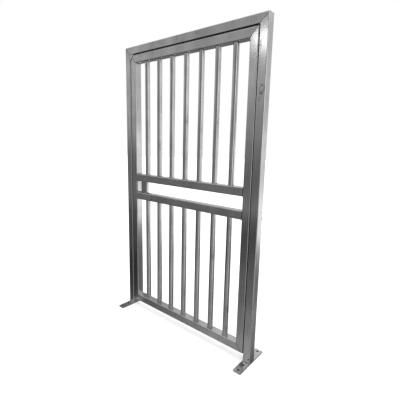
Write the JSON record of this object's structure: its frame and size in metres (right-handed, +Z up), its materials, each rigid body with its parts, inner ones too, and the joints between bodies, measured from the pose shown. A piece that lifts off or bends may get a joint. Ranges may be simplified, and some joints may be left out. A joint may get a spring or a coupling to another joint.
{
  "type": "livestock panel gate",
  "caption": "Framed walk-through gate for a livestock pen, square steel tube portal with a round-bar leaf that swings on flag hinges and a slide bolt with an upright grip.",
  "frame": {"origin": "on the floor, midway between the two posts, in the middle plane of the tubes", "axes": "+X runs along the gate from the latch post to the hinge post, +Y is the hinge side (the back), +Z is up"},
  "size_m": [1.13, 0.25, 1.9],
  "materials": {
    "zinc_tube": "hot-dip galvanised square tube, dull grey with faint streaks",
    "zinc_pipe": "hot-dip galvanised round pipe, slightly shiny",
    "zinc_plate": "hot-dip galvanised flat bar",
    "hinge_steel": "galvanised weld-on flag hinge",
    "bolt_steel": "zinc-plated round bar, worn bright by sliding",
    "grip_steel": "dark galvanised flat-sided tube"
  },
  "bodies": {
    "frame": {"left_post": "zinc_tube", "right_post": "zinc_tube", "header": "zinc_tube", "corner_gusset": "zinc_plate", "left_base_plate": "zinc_plate", "right_base_plate": "zinc_plate", "lower_hinge_post_wing": "hinge_steel", "lower_hinge_pin": "hinge_steel", "lower_hinge_washer": "hinge_steel", "upper_hinge_post_wing": "hinge_steel", "upper_hinge_pin": "hinge_steel", "upper_hinge_washer": "hinge_steel"},
    "leaf": {"leaf_latch_stile": "zinc_tube", "leaf_hinge_stile": "zinc_tube", "leaf_top_rail": "zinc_tube", "leaf_bottom_rail": "zinc_tube", "leaf_upper_mid_rail": "zinc_tube", "leaf_lower_mid_rail": "zinc_tube", "leaf_corner_cap": "zinc_plate", "latch_bolt_guide": "zinc_plate", "upper_bar_1": "zinc_pipe", "upper_bar_2": "zinc_pipe", "upper_bar_3": "zinc_pipe", "upper_bar_4": "zinc_pipe", "upper_bar_5": "zinc_pipe", "upper_bar_6": "zinc_pipe", "upper_bar_7": "zinc_pipe", "lower_bar_1": "zinc_pipe", "lower_bar_2": "zinc_pipe", "lower_bar_3": "zinc_pipe", "lower_bar_4": "zinc_pipe", "lower_bar_5": "zinc_pipe", "lower_bar_6": "zinc_pipe", "lower_bar_7": "zinc_pipe", "lower_hinge_leaf_wing": "hinge_steel", "upper_hinge_leaf_wing": "hinge_steel"},
    "latch": {"latch_bolt": "bolt_steel", "latch_grip": "grip_steel", "latch_cross_pin": "bolt_steel"}
  },
  "joints": [
    {"name": "leaf_swing", "type": "hinge", "parent": "frame", "child": "leaf", "pos_m": [0.513, 0.034, 0.95], "axis": [0, 0, -1], "range_deg": [0, 180]},
    {"name": "latch_slide", "type": "slide", "parent": "leaf", "child": "latch", "axis": [1, 0, 0], "range_m": [-0.025, 0.025]}
  ]
}
